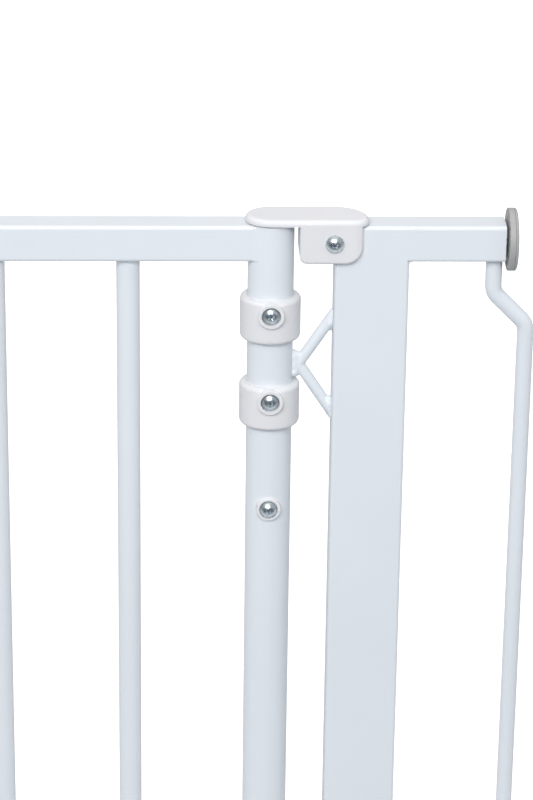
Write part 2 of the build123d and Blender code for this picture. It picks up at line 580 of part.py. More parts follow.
with BuildPart() as door_top_rail:
    square_tube(rail_section(STILE_OUTER, TOP_AXIS), HINGE_X - RAIL_INTO_TUBE - STILE_OUTER)
    disc(TOP_UNDER - CUT, HEIGHT + CUT, COPE_RADIUS, Mode.SUBTRACT)
    disc(TOP_UNDER - CUT, HEIGHT + CUT, DROP_HOLE, Mode.SUBTRACT, (STILE_X, 0))
    for x in HOUSING_SCREW_STATIONS:
        front_hole(x, CAP_SCREW_Z, PILOT_RADIUS, -RAIL / 2 - CUT, 0)
door_top_rail.part.label = "door_top_rail"
export_step(door_top_rail.part, "parts/door_top_rail.step")

with BuildPart() as door_bottom_rail:
    sill_start = STILE_X + RAIL / 2
    sill_length = HINGE_X - RAIL_INTO_TUBE - sill_start
    square_tube(rail_section(sill_start, DOOR_BOTTOM + RAIL / 2), sill_length)
    disc(DOOR_BOTTOM - CUT, SILL_TOP + CUT, COPE_RADIUS, Mode.SUBTRACT)
door_bottom_rail.part.label = "door_bottom_rail"
export_step(door_bottom_rail.part, "parts/door_bottom_rail.step")

with BuildPart() as latch_stile:
    square_tube(upright_plane(STILE_X, DOOR_BOTTOM), TOP_UNDER - DOOR_BOTTOM)
latch_stile.part.label = "latch_stile"
export_step(latch_stile.part, "parts/latch_stile.step")

for index in range(BAR_COUNT):
    axis = (HINGE_X - HINGE_TO_BAR - index * BAR_PITCH, 0)
    with BuildPart() as bar:
        disc(SILL_TOP, TOP_UNDER, BAR_RADIUS, at=axis)
        disc(SILL_TOP, TOP_UNDER, BAR_RADIUS - WALL, Mode.SUBTRACT, axis)
    bar.part.label = f"door_bar_{index + 1}"
    export_step(bar.part, f"parts/door_bar_{index + 1}.step")

PLUG_HEIGHT = 12.0
PLUG_FLANGE = 2.0

with BuildPart() as stile_end_plug:
    with BuildSketch(Plane.XY.offset(DOOR_BOTTOM)):
        with Locations((STILE_X, 0)):
            RectangleRounded(PLUG_SQUARE, PLUG_SQUARE, RAIL_CORNER - WALL)
    extrude(amount=PLUG_HEIGHT)
    with BuildSketch(Plane.XY.offset(DOOR_BOTTOM - PLUG_FLANGE)):
        with Locations((STILE_X, 0)):
            RectangleRounded(RAIL, RAIL, RAIL_CORNER)
    extrude(amount=PLUG_FLANGE)
    disc(DOOR_BOTTOM - PLUG_FLANGE, DOOR_BOTTOM + PLUG_HEIGHT, DROP_RADIUS + RUNNING,
         Mode.SUBTRACT, (STILE_X, 0))
stile_end_plug.part.label = "stile_end_plug"
export_step(stile_end_plug.part, "parts/stile_end_plug.step")

# ================================================================ LATCH
HOUSING_ROUND = 8.0
SLOT_CLEAR = 0.5
STEM_HALF = BUTTON_STEM[0] / 2
STEM_HALF_WIDTH = BUTTON_STEM[1] / 2

with BuildPart() as latch_housing:
    with BuildSketch(Plane.XZ.offset(-SHELL_HALF)) as side_view:
        with Locations(((HOUSING_NOSE_X + HOUSING_TAIL_X) / 2, (SHELL_SKIRT + HOUSING_TOP) / 2)):
            Rectangle(HOUSING_TAIL_X - HOUSING_NOSE_X, HOUSING_TOP - SHELL_SKIRT)
        fillet(side_view.vertices().group_by(Axis.X)[-1], HOUSING_ROUND)
        fillet(side_view.vertices().group_by(Axis.X)[0], SHELL_EDGE)
    extrude(amount=2 * SHELL_HALF)
    fillet(latch_housing.faces().sort_by(Axis.Y)[0].edges(), SHELL_EDGE)
    fillet(latch_housing.faces().sort_by(Axis.Y)[-1].edges(), SHELL_EDGE)
    block((STILE_OUTER - 2 * RUNNING, -RAIL_SLOT, SHELL_SKIRT - CUT),
          (HOUSING_TAIL_X + CUT, RAIL_SLOT, HEIGHT), Mode.SUBTRACT)
    block((HOUSING_NOSE_X - CUT, -BOLT_HALF - SLOT_CLEAR, HEIGHT - 2 * RUNNING),
          (BOLT_TAIL_X + SLOT_CLEAR, BOLT_HALF + SLOT_CLEAR, CAVITY_TOP), Mode.SUBTRACT)
    block((BUTTON_X - BOLT_TRAVEL - STEM_HALF - SLOT_CLEAR, -STEM_HALF_WIDTH - SLOT_CLEAR, HEIGHT),
          (BUTTON_X + STEM_HALF + SLOT_CLEAR, STEM_HALF_WIDTH + SLOT_CLEAR, HOUSING_TOP + CUT),
          Mode.SUBTRACT)
    for x in HOUSING_SCREW_STATIONS:
        front_hole(x, CAP_SCREW_Z, PASS_RADIUS, -SHELL_HALF - CUT, 0)
latch_housing.part.label = "latch_housing"
export_step(latch_housing.part, "parts/latch_housing.step")

latch_housing_screws = Compound(
    label="latch_housing_screws",
    children=[domed_screw((x, -SHELL_HALF, CAP_SCREW_Z), (0, -1, 0)) for x in HOUSING_SCREW_STATIONS],
)
export_step(latch_housing_screws, "parts/latch_housing_screws.step")

# Bolt: two cheeks joined at nose and tail; the drop rod stands between them and its cross pin
# rides in a sloping slot, so the bolt's travel drives the rod down.
ROD_SLOT_HALF = DROP_RADIUS + 0.4
ROD_SLOT_SPARE = 0.8
CHEEK_START = STILE_X - DROP_RADIUS - ROD_SLOT_SPARE
CHEEK_END = STILE_X + BOLT_TRAVEL + DROP_RADIUS + ROD_SLOT_SPARE
NOSE_EDGE = 1.5
PEG_RADIUS = 2.5
PEG_DEPTH = 8.0
PEG_SPARE = 0.5

with BuildPart() as latch_bolt:
    block((BOLT_NOSE_X, -BOLT_HALF, BOLT_LOW), (BOLT_TAIL_X, BOLT_HALF, BOLT_HIGH))
    chamfer(latch_bolt.faces().sort_by(Axis.X)[0].edges(), NOSE_EDGE)
    block((CHEEK_START, -ROD_SLOT_HALF, BOLT_LOW - CUT), (CHEEK_END, ROD_SLOT_HALF, BOLT_HIGH + CUT),
          Mode.SUBTRACT)
    with BuildSketch(Plane.XZ.offset(-BOLT_HALF - CUT)):
        with Locations((STILE_X + BOLT_TRAVEL / 2, PIN_Z - DROP_TRAVEL / 2)):
            SlotCenterToCenter(hypot(BOLT_TRAVEL, DROP_TRAVEL), 2 * (PIN_RADIUS + FREE),
                               rotation=-degrees(atan2(DROP_TRAVEL, BOLT_TRAVEL)))
    extrude(amount=2 * (BOLT_HALF + CUT), mode=Mode.SUBTRACT)
    disc(BOLT_HIGH - PEG_DEPTH, BOLT_HIGH + CUT, PEG_RADIUS + RUNNING, Mode.SUBTRACT, (BUTTON_X, 0))
latch_bolt.part.label = "latch_bolt"
export_step(latch_bolt.part, "parts/latch_bolt.step")

BUTTON_LENGTH = 24.0
BUTTON_WIDTH = 18.0
BUTTON_LOW = HOUSING_TOP + 0.4
BUTTON_HEIGHT = 4.6
BUTTON_CORNER = 4.0
BUTTON_EDGE = 1.6
GROOVE_COUNT = 5
GROOVE_STEP = 3.4
GROOVE = 1.2
GROOVE_LENGTH = BUTTON_WIDTH - 5.0

with BuildPart() as thumb_slider:
    with BuildSketch(Plane.XY.offset(BUTTON_LOW)):
        with Locations((BUTTON_X, 0)):
            RectangleRounded(BUTTON_LENGTH, BUTTON_WIDTH, BUTTON_CORNER)
    extrude(amount=BUTTON_HEIGHT)
    fillet(thumb_slider.faces().sort_by(Axis.Z)[-1].edges(), BUTTON_EDGE)
    for index in range(GROOVE_COUNT):
        x = BUTTON_X + (index - (GROOVE_COUNT - 1) / 2) * GROOVE_STEP
        with Locations((x, 0, BUTTON_LOW + BUTTON_HEIGHT)):
            Box(GROOVE, GROOVE_LENGTH, GROOVE, mode=Mode.SUBTRACT)
    block((BUTTON_X - STEM_HALF, -STEM_HALF_WIDTH, BOLT_HIGH),
          (BUTTON_X + STEM_HALF, STEM_HALF_WIDTH, BUTTON_LOW))
    disc(BOLT_HIGH - PEG_DEPTH + PEG_SPARE, BOLT_HIGH, PEG_RADIUS, at=(BUTTON_X, 0))
thumb_slider.part.label = "thumb_slider"
export_step(thumb_slider.part, "parts/thumb_slider.step")

DROP_FOOT = DOOR_BOTTOM - PLUG_FLANGE + STEP_UP
DROP_TOP = PIN_Z + PIN_RADIUS + 1.2
DROP_EDGE = 0.8
PIN_FIT = 0.02

with BuildPart() as drop_rod:
    disc(DROP_FOOT, DROP_TOP, DROP_RADIUS, at=(STILE_X, 0))
    chamfer(drop_rod.edges().filter_by(GeomType.CIRCLE), DROP_EDGE)
    front_hole(STILE_X, PIN_Z, PIN_RADIUS + PIN_FIT, -DROP_RADIUS - CUT, DROP_RADIUS + CUT)
drop_rod.part.label = "drop_rod"
export_step(drop_rod.part, "parts/drop_rod.step")

with BuildPart() as drop_rod_pin:
    with BuildSketch(Plane.XZ.offset(-PIN_HALF)):
        with Locations((STILE_X, PIN_Z)):
            Circle(PIN_RADIUS)
    extrude(amount=2 * PIN_HALF)
drop_rod_pin.part.label = "drop_rod_pin"
export_step(drop_rod_pin.part, "parts/drop_rod_pin.step")

# ================================================================ WALL ADJUSTERS
SPINDLE_RADIUS = 5.0
SPINDLE_LENGTH = 72.0
NUT_LENGTH = 14.0
PAD_GAP = 1.5                               # rail end to the wheel, screwed right in
WHEEL = 3.0
POCKETS = 20                                # blind pockets between ribs, open towards the rail
POCKET_RING = 14.0
POCKET_SIZE = (3.2, 2.7)
POCKET_CUT = 2.2
WHEEL_EDGE = 0.5
PAD = 1.6
PAD_SPACE = 0.15                            # between the wheel and the pad that stays still on it
PAD_EDGE = 1.2

ADJUSTERS = [
    (f"{level}_{hand}", side, height)
    for level, height in (("top", TOP_AXIS), ("bottom", BOTTOM_AXIS))
    for hand, side in (("left", -1), ("right", 1))
]


def outward_plane(side, x, z):
    """Plane square to the X axis whose normal points away from the middle of the gate."""
    return Plane(origin=(side * x, 0, z), x_dir=(0, side, 0), z_dir=(side, 0, 0))


with BuildPart() as rail_end_nuts:
    for name, side, height in ADJUSTERS:
        with BuildSketch(outward_plane(side, RAIL_END - NUT_LENGTH, height)):
            RectangleRounded(PLUG_SQUARE, PLUG_SQUARE, RAIL_CORNER - WALL)
            Circle(SPINDLE_RADIUS + RUNNING, mode=Mode.SUBTRACT)
        extrude(amount=NUT_LENGTH)
rail_end_nuts.part.label = "rail_end_nuts"
export_step(rail_end_nuts.part, "parts/rail_end_nuts.step")

for name, side, height in ADJUSTERS:
    with BuildPart() as wheel:
        with BuildSketch(outward_plane(side, RAIL_END + PAD_GAP, height)):
            Circle(PAD_RADIUS)
        extrude(amount=WHEEL)
        fillet(wheel.faces().sort_by(Axis.X)[0 if side > 0 else -1].edges(), WHEEL_EDGE)
        with BuildSketch(outward_plane(side, RAIL_END + PAD_GAP, height)):
            with PolarLocations(POCKET_RING, POCKETS):
                Rectangle(*POCKET_SIZE)
        extrude(amount=POCKET_CUT, mode=Mode.SUBTRACT)
    wheel.part.label = f"adjuster_wheel_{name}"
    export_step(wheel.part, f"parts/adjuster_wheel_{name}.step")

    with BuildPart() as spindle:
        with BuildSketch(outward_plane(side, RAIL_END + PAD_GAP - SPINDLE_LENGTH, height)):
            Circle(SPINDLE_RADIUS)
        extrude(amount=SPINDLE_LENGTH)
    spindle.part.label = f"spindle_{name}"
    export_step(spindle.part, f"parts/spindle_{name}.step")

    with BuildPart() as pad:
        with BuildSketch(outward_plane(side, RAIL_END + PAD_GAP + WHEEL + PAD_SPACE, height)):
            Circle(PAD_RADIUS)
        extrude(amount=PAD)
        outer_face = pad.faces().sort_by(Axis.X)[-1 if side > 0 else 0]
        fillet(outer_face.edges(), PAD_EDGE)
    pad.part.label = f"wall_pad_{name}"
    export_step(pad.part, f"parts/wall_pad_{name}.step")
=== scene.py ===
"""Looks of the pet gate: weld beads, real screw heads and threads, moulded details and materials
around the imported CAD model, with the studio, the lights and the camera. Metres throughout."""
import json
import math

import bpy
from mathutils import Matrix, Vector, noise


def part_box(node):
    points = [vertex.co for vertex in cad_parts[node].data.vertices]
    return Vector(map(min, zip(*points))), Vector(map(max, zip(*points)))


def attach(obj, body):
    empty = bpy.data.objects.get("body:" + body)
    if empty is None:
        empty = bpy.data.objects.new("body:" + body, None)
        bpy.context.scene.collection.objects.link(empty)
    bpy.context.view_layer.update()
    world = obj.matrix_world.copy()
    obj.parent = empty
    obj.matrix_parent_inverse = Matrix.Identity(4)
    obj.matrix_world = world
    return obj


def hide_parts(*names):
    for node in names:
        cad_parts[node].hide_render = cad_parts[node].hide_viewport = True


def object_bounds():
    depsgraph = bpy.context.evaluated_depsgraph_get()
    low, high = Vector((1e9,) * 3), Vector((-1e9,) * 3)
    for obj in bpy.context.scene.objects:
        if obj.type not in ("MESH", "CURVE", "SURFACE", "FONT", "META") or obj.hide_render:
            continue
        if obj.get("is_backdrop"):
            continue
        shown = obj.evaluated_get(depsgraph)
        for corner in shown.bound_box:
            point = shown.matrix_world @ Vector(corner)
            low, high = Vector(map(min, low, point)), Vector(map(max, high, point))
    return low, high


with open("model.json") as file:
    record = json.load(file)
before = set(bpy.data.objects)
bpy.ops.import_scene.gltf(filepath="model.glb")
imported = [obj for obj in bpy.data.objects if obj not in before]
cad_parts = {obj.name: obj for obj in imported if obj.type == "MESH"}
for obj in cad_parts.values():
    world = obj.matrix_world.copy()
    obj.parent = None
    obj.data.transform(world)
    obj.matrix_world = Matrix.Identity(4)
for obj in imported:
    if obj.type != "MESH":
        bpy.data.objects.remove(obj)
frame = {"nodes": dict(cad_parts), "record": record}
cad_low, cad_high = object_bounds()

MM = 0.001
FRONT = Vector((0, -1, 0))
UP = Vector((0, 0, 1))

# ------------------------------------------------------------------ places, read from the frame
tube_low, tube_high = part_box("upper_hinge_tube")
HINGE = Vector(((tube_low.x + tube_high.x) / 2, 0, tube_high.z))    # hinge axis at the rail's top
TUBE_RADIUS = (tube_high.x - tube_low.x) / 2
rail_low, rail_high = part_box("door_top_rail")
RAIL_UNDER, RAIL_TOP, RAIL_HALF = rail_low.z, rail_high.z, rail_high.y
ADJUSTERS = [(level, hand) for level in ("top", "bottom") for hand in ("left", "right")]


# ------------------------------------------------------------------ shader nodes
class Shader:
    """A node material under construction: noise, colour ramps and bump by short calls."""

    def __init__(self, name, colour, roughness, metallic=0.0):
        self.material = bpy.data.materials.new(name)
        self.material.use_nodes = True
        self.tree = self.material.node_tree
        self.bsdf = self.tree.nodes["Principled BSDF"]
        self.bsdf.inputs["Base Color"].default_value = (*colour, 1)
        self.bsdf.inputs["Roughness"].default_value = roughness
        self.bsdf.inputs["Metallic"].default_value = metallic
        self.material.diffuse_color = (*colour, 1)
        self.place = self.add("ShaderNodeTexCoord").outputs["Object"]
        self.normal = None

    def add(self, kind, **inputs):
        node = self.tree.nodes.new(kind)
        for name, value in inputs.items():
            self.feed(node, name.replace("_", " "), value)
        return node

    def feed(self, node, name, value):
        """Sets an input, or links it when the value is another node's output."""
        socket = node.inputs[name]
        if isinstance(value, bpy.types.NodeSocket):
            self.tree.links.new(value, socket)
        else:
            socket.default_value = value

    def noise(self, scale, detail=2.0, stretch=None):
        place = self.place
        if stretch:
            mapping = self.add("ShaderNodeMapping", Vector=place)
            mapping.inputs["Scale"].default_value = stretch
            place = mapping.outputs["Vector"]
        return self.add("ShaderNodeTexNoise", Vector=place, Scale=scale, Detail=detail).outputs["Fac"]

    def spread(self, value, low, high, middle=(0.3, 0.7)):
        """Maps a noise value to a range of numbers."""
        node = self.add("ShaderNodeMapRange", Value=value)
        for name, number in zip(("From Min", "From Max", "To Min", "To Max"), (*middle, low, high)):
            node.inputs[name].default_value = number
        return node.outputs["Result"]

    def tint(self, value, first, second, middle=(0.3, 0.7)):
        """Colours the surface between two tones by a noise value."""
        ramp = self.add("ShaderNodeValToRGB", Fac=value)
        for element, place, colour in zip(ramp.color_ramp.elements, middle, (first, second)):
            element.position = place
            element.color = (*colour, 1)
        self.feed(self.bsdf, "Base Color", ramp.outputs["Color"])

    def rough(self, value, low, high):
        self.feed(self.bsdf, "Roughness", self.spread(value, low, high))

    def bump(self, height, depth, strength=1.0):
        """Raises a pattern by depth metres; several calls stack."""
        node = self.add("ShaderNodeBump", Height=height, Distance=depth, Strength=strength)
        if self.normal is not None:
            self.feed(node, "Normal", self.normal)
        self.normal = node.outputs["Normal"]
        self.feed(self.bsdf, "Normal", self.normal)

    def set(self, **inputs):
        for name, value in inputs.items():
            self.bsdf.inputs[name.replace("_", " ")].default_value = value


def powder_coat():
    """Satin white powder coat: faint orange peel, slightly uneven film, cool white."""
    s = Shader("powder_coat", (0.80, 0.835, 0.875), 0.34)
    s.tint(s.noise(9, 3), (0.785, 0.822, 0.866), (0.812, 0.846, 0.884))
    s.rough(s.noise(60, 3), 0.36, 0.47)
    s.bump(s.noise(420, 2), 0.00006, 0.35)
    s.bump(s.noise(2600, 1), 0.00001, 0.5)
    s.set(IOR=1.5, Specular_IOR_Level=0.42, Coat_Weight=0.04, Coat_Roughness=0.35)
    return s.material


def white_plastic():
    """Spark-eroded moulded plastic, a neutral white beside the cooler paint."""
    s = Shader("white_plastic", (0.80, 0.798, 0.815), 0.46)
    s.tint(s.noise(14, 3), (0.787, 0.785, 0.804), (0.813, 0.81, 0.827))
    s.rough(s.noise(90, 2), 0.40, 0.52)
    s.bump(s.noise(1900, 3), 0.00002, 0.7)
    s.set(IOR=1.47, Specular_IOR_Level=0.32, Subsurface_Weight=0.06, Subsurface_Scale=0.001)
    return s.material


def zinc_screw():
    """Bright zinc plate, nearly a mirror, with a faint blue passivation and turning marks."""
    s = Shader("zinc_screw", (0.60, 0.66, 0.70), 0.2, 1.0)
    s.tint(s.noise(420, 2), (0.52, 0.60, 0.66), (0.66, 0.70, 0.71))
    s.rough(s.noise(500, 2), 0.25, 0.31)
    s.bump(s.noise(1500, 2), 0.000004, 0.25)
    return s.material


def bright_steel():
    """Drawn and plated steel rod, with fine lines along it."""
    s = Shader("bright_steel", (0.60, 0.61, 0.63), 0.28, 1.0)
    lines = s.noise(60, 4, stretch=(1, 40, 40))
    s.tint(lines, (0.52, 0.53, 0.55), (0.67, 0.68, 0.70))
    s.rough(lines, 0.22, 0.38)
    s.bump(lines, 0.000012, 0.6)
    return s.material


def nylon():
    """Natural nylon of the hinge bushes and plugs."""
    s = Shader("nylon", (0.72, 0.71, 0.66), 0.5)
    s.tint(s.noise(40, 2), (0.69, 0.68, 0.62), (0.75, 0.74, 0.69))
    s.bump(s.noise(1500, 2), 0.00001, 0.5)
    s.set(Subsurface_Weight=0.1, Subsurface_Scale=0.001)
    return s.material


def grey_plastic():
    """Matt mid-grey acetal of the wheels, the bolt and its thumb pad."""
    s = Shader("grey_plastic", (0.405, 0.402, 0.397), 0.5)
    s.tint(s.noise(30, 3), (0.38, 0.377, 0.371), (0.43, 0.428, 0.423))
    s.rough(s.noise(120, 2), 0.44, 0.58)
    s.bump(s.noise(1700, 3), 0.00002, 0.7)
    return s.material


def grey_rubber():
    """Soft grey rubber of the wall pads, dusty on its high spots."""
    s = Shader("grey_rubber", (0.415, 0.415, 0.413), 0.68)
    s.tint(s.noise(45, 4), (0.39, 0.389, 0.386), (0.44, 0.442, 0.442))
    s.rough(s.noise(200, 3), 0.60, 0.78)
    s.bump(s.noise(1300, 4), 0.00003, 0.8)
    s.set(Sheen_Weight=0.08, Sheen_Roughness=0.5)
    return s.material


MATERIALS = {make.__name__: make() for make in (
    powder_coat, white_plastic, zinc_screw, bright_steel, nylon, grey_plastic, grey_rubber)}

SLOT_OF = {part["node"]: part["material_slot"] for part in frame["record"]["subparts"]}
for node, obj in frame["nodes"].items():
    obj.data.materials.clear()
    obj.data.materials.append(MATERIALS[SLOT_OF[node]])


# ------------------------------------------------------------------ mesh building
def make_piece(name, vertices, faces, slot, body, replaces=(), smooth=True):
    """A mesh piece in the row frame that rides on a body and may stand for CAD nodes."""
    mesh = bpy.data.meshes.new(name)
    mesh.from_pydata([tuple(v) for v in vertices], [], faces)
    mesh.update()
    mesh.polygons.foreach_set("use_smooth", [smooth] * len(mesh.polygons))
    mesh.set_sharp_from_angle(angle=math.radians(38))
    mesh.materials.append(MATERIALS[slot])
    piece = bpy.data.objects.new(name, mesh)
    bpy.context.scene.collection.objects.link(piece)
    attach(piece, body)
    if replaces:
        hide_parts(*replaces)
    return piece


def grid_faces(rows, columns, wrap_rows=False, wrap_columns=True, start=0):
    """Quads over a grid of points stored row by row, closed round its columns or rows or both."""
    faces = []
    for i in range(rows if wrap_rows else rows - 1):
        for j in range(columns if wrap_columns else columns - 1):
            a = start + i * columns + j
            b = start + i * columns + (j + 1) % columns
            c = start + (i + 1) % rows * columns + (j + 1) % columns
            d = start + (i + 1) % rows * columns + j
            faces.append((a, b, c, d))
    return faces


def closed_faces(rows, columns):
    """Quads over a tube of points, with one polygon over each of its ends."""
    last = (rows - 1) * columns
    ends = [tuple(reversed(range(columns))), tuple(last + k for k in range(columns))]
    return grid_faces(rows, columns) + ends


def joined(parts):
    """Several (vertices, faces) as one."""
    vertices, faces = [], []
    for points, polygons in parts:
        faces += [tuple(len(vertices) + index for index in polygon) for polygon in polygons]
        vertices += points
    return vertices, faces


def axes_about(axis):
    """Two unit vectors square to an axis and to each other."""
    axis = Vector(axis).normalized()
    across = axis.orthogonal().normalized() if abs(axis.z) > 0.9 else UP.cross(axis).normalized()
    return across, axis.cross(across)


def lathe(profile, centre, axis, segments=96):
    """Vertices and faces of a closed profile of (radius, height) points turned about an axis."""
    across, along = axes_about(axis)
    axis = Vector(axis).normalized()
    vertices = []
    for radius, height in profile:
        for k in range(segments):
            turn = 2 * math.pi * k / segments
            arm = across * math.cos(turn) + along * math.sin(turn)
            vertices.append(Vector(centre) + axis * height + arm * radius)
    return vertices, closed_faces(len(profile), segments)


# ------------------------------------------------------------------ screws
HEAD_HEIGHT = 3.5 * MM
HEAD_RIM = 0.9 * MM
RECESS_ARM = 1.9 * MM
RECESS_HALF_WIDTH = 0.45 * MM
RECESS_DEPTH = 0.9 * MM
RECESS_END_WALL = 0.9 * MM
RECESS_SIDE_WALL = 0.35 * MM
CROWN_START = 0.02           # the innermost ring, as a share of one ring's step
RIM_PROFILE = ((1.0, 0.75), (0.992, 0.3), (0.96, 0.0))    # shares of the radius and of the rim's height


def recess_depth(u, v):
    """Depth of the cross recess at a place on the head: two tapering slots with soft walls."""
    deepest = 0.0
    for along, across in ((abs(u), abs(v)), (abs(v), abs(u))):
        reach = (RECESS_ARM - along) / RECESS_END_WALL
        side = (RECESS_HALF_WIDTH - across) / RECESS_SIDE_WALL
        depth = max(0.0, min(1.0, reach)) * max(0.0, min(1.0, side + 0.5))
        deepest = max(deepest, depth)
    return RECESS_DEPTH * deepest * deepest * (3 - 2 * deepest)


def screw_head(seat, radius, turn, rings=34, segments=128):
    """Pan head on its seat, facing forwards: flat rim, domed crown and a cross recess."""
    rise = HEAD_HEIGHT - HEAD_RIM
    ball = (radius * radius + rise * rise) / (2 * rise)
    rows = []
    for i in range(rings + 1):
        r = radius * max(i, CROWN_START) / rings
        rows.append((r, HEAD_RIM + math.sqrt(ball * ball - r * r) - (ball - rise)))
    rows += [(radius * out, HEAD_RIM * up) for out, up in RIM_PROFILE]
    vertices = []
    for r, height in rows:
        for k in range(segments):
            angle = 2 * math.pi * k / segments + turn
            cut = recess_depth(r * math.cos(angle - turn), r * math.sin(angle - turn))
            arm = Vector((r * math.cos(angle), 0, r * math.sin(angle)))
            vertices.append(seat + arm + FRONT * (height - min(cut, height)))
    return vertices, closed_faces(len(rows), segments)


SCREWS = (
    ("hinge_cap_screw", "frame", (38,)),
    ("keeper_screw", "frame", (71,)),
    ("lower_collar_screw", "frame", (43,)),
    ("upper_collar_screw", "door", (20,)),
    ("spring_anchor_screw", "door", (52,)),
    ("latch_housing_screws", "door", (15, 64)),
)
for node, body, turns in SCREWS:
    low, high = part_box(node)
    radius = (high.z - low.z) / 2
    places = (low.x + radius, high.x - radius)
    heads = [
        screw_head(Vector((x, low.y + HEAD_HEIGHT, low.z + radius)), radius, math.radians(turn))
        for x, turn in zip(places, turns)
    ]
    make_piece(f"{node}_head", *joined(heads), "zinc_screw", body, replaces=(node,))


# ------------------------------------------------------------------ welds
BAR_LEG = 1.45 * MM             # from the corner to the edge of the bead round a door bar
ROD_LEG = 1.9 * MM              # the same round a side rod
RING_HOLLOW = 2.4               # power of the bead's hollow face; 2 is straight
RING_LUMP = 2.6 * MM            # size of the beads' unevenness round a bar
RING_UNEVEN = 0.35
FILLET_LUMP = 4 * MM
FILLET_UNEVEN = 0.12
FILLET_TAPER = 0.45             # how much a corner fillet shrinks at its two ends
BEAD_LUMP = 2.2 * MM
BEAD_UNEVEN = 0.3
BEAD_TIP = 0.25                 # a bead's thickness at its ends, as a share of the middle's


def wander(point, size, amount):
    """A factor near 1 that changes slowly from place to place."""
    return 1 + amount * noise.noise(Vector(point) / size)


def weld_ring(centre, axis, radius, leg, segments=72):
    """A hollow-faced bead in the corner between a round bar's end and the flat it stands on."""
    across, along = axes_about(axis)
    axis = Vector(axis)
    face = [(math.cos(t) ** RING_HOLLOW, math.sin(t) ** RING_HOLLOW) for t in
            (math.pi / 2 * k / 6 for k in range(7))]
    loop = [(-0.3, -0.15), (1.0, -0.15), *face, (-0.3, 1.0)]
    vertices = []
    for out, rise in loop:
        for k in range(segments):
            turn = 2 * math.pi * k / segments
            arm = across * math.cos(turn) + along * math.sin(turn)
            reach = leg * wander(centre + arm * radius, RING_LUMP, RING_UNEVEN)
            vertices.append(centre + arm * (radius + out * reach) + axis * rise * reach)
    return vertices, grid_faces(len(loop), segments, wrap_rows=True)


def corner_fillet(corner, first, second, along, half, leg, stations=13):
    """A hollow bead in the straight corner between two flats, running half each way."""
    corner, first, second, along = (Vector(v) for v in (corner, first, second, along))
    curve = [(1 - math.sin(t), 1 - math.cos(t)) for t in (math.pi / 2 * k / 8 for k in range(9))]
    loop = [(-0.1, -0.1), (1.0, -0.1), *curve, (-0.1, 1.0)]
    vertices = []
    for k in range(stations):
        share = 2 * k / (stations - 1) - 1
        place = corner + along * half * share
        taper = 1 - FILLET_TAPER * abs(share) ** 6
        reach = leg * taper * wander(place, FILLET_LUMP, FILLET_UNEVEN)
        vertices += [place + first * a * reach + second * b * reach for a, b in loop]
    return vertices, closed_faces(stations, len(loop))


def groove_filler(corner, first, second, along, length, radius):
    """Weld metal dressed flush in the groove beside a tube's rounded edge."""
    corner, first, second, along = (Vector(v) for v in (corner, first, second, along))
    centre = corner + (first + second) * radius
    arc = [centre - first * radius * math.sin(t) - second * radius * math.cos(t)
           for t in (math.pi / 2 * k / 6 for k in range(7))]
    loop = [corner, *arc]
    vertices = [point + along * length * end for end in (0, 1) for point in loop]
    return vertices, closed_faces(2, len(loop))


def bead(points, radius, sides=14):
    """A rippled bead laid along a path, thin at both ends."""
    vertices = []
    for k, point in enumerate(points):
        ahead = points[min(k + 1, len(points) - 1)] - points[max(k - 1, 0)]
        across, along = axes_about(ahead)
        share = k / (len(points) - 1)
        swell = BEAD_TIP + (1 - BEAD_TIP) * min(1.0, 8 * share, 8 * (1 - share))
        reach = radius * swell * wander(point, BEAD_LUMP, BEAD_UNEVEN)
        for j in range(sides):
            turn = 2 * math.pi * j / sides
            vertices.append(point + (across * math.cos(turn) + along * math.sin(turn)) * reach)
    return vertices, closed_faces(len(points), sides)


def outline(half, corner, start, end, count):
    """Places (y, z) round a rounded square's outline, by the angle from its axis."""
    places = []
    for k in range(count):
        turn = start + (end - start) * k / (count - 1)
        y, z = math.cos(turn), math.sin(turn)
        scale = (half - 0.3 * corner * abs(2 * y * z) ** 3) / max(abs(y), abs(z))
        places.append((y * scale, z * scale))
    return places


RAIL_EDGE = 2.0 * MM            # outside corner radius of the square tubes
EDGE_INSET = RAIL_EDGE * 0.6    # how far in from a tube's corner its flat counts as beginning
UNDER = -UP
bar_names = [node for node in frame["nodes"] if node.startswith("door_bar_")]
rings = []
for node in bar_names:
    low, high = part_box(node)
    axis_x, radius = (low.x + high.x) / 2, (high.x - low.x) / 2
    rings.append(weld_ring(Vector((axis_x, 0, high.z)), UNDER, radius, BAR_LEG))
    rings.append(weld_ring(Vector((axis_x, 0, low.z)), UP, radius, BAR_LEG))
make_piece("door_bar_welds", *joined(rings), "powder_coat", "door")

post_boxes = [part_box("left_post"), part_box("right_post")]
rod_boxes = [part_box("left_rod"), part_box("right_rod")]
ROD_RADIUS = rod_boxes[0][1].y
rings = []
for low, high in rod_boxes:
    inner = high.x - ROD_RADIUS if low.x < 0 else low.x + ROD_RADIUS
    rings.append(weld_ring(Vector((inner, 0, high.z)), UNDER, ROD_RADIUS, ROD_LEG))
    rings.append(weld_ring(Vector((inner, 0, low.z)), UP, ROD_RADIUS, ROD_LEG))
make_piece("side_rod_welds", *joined(rings), "powder_coat", "frame")

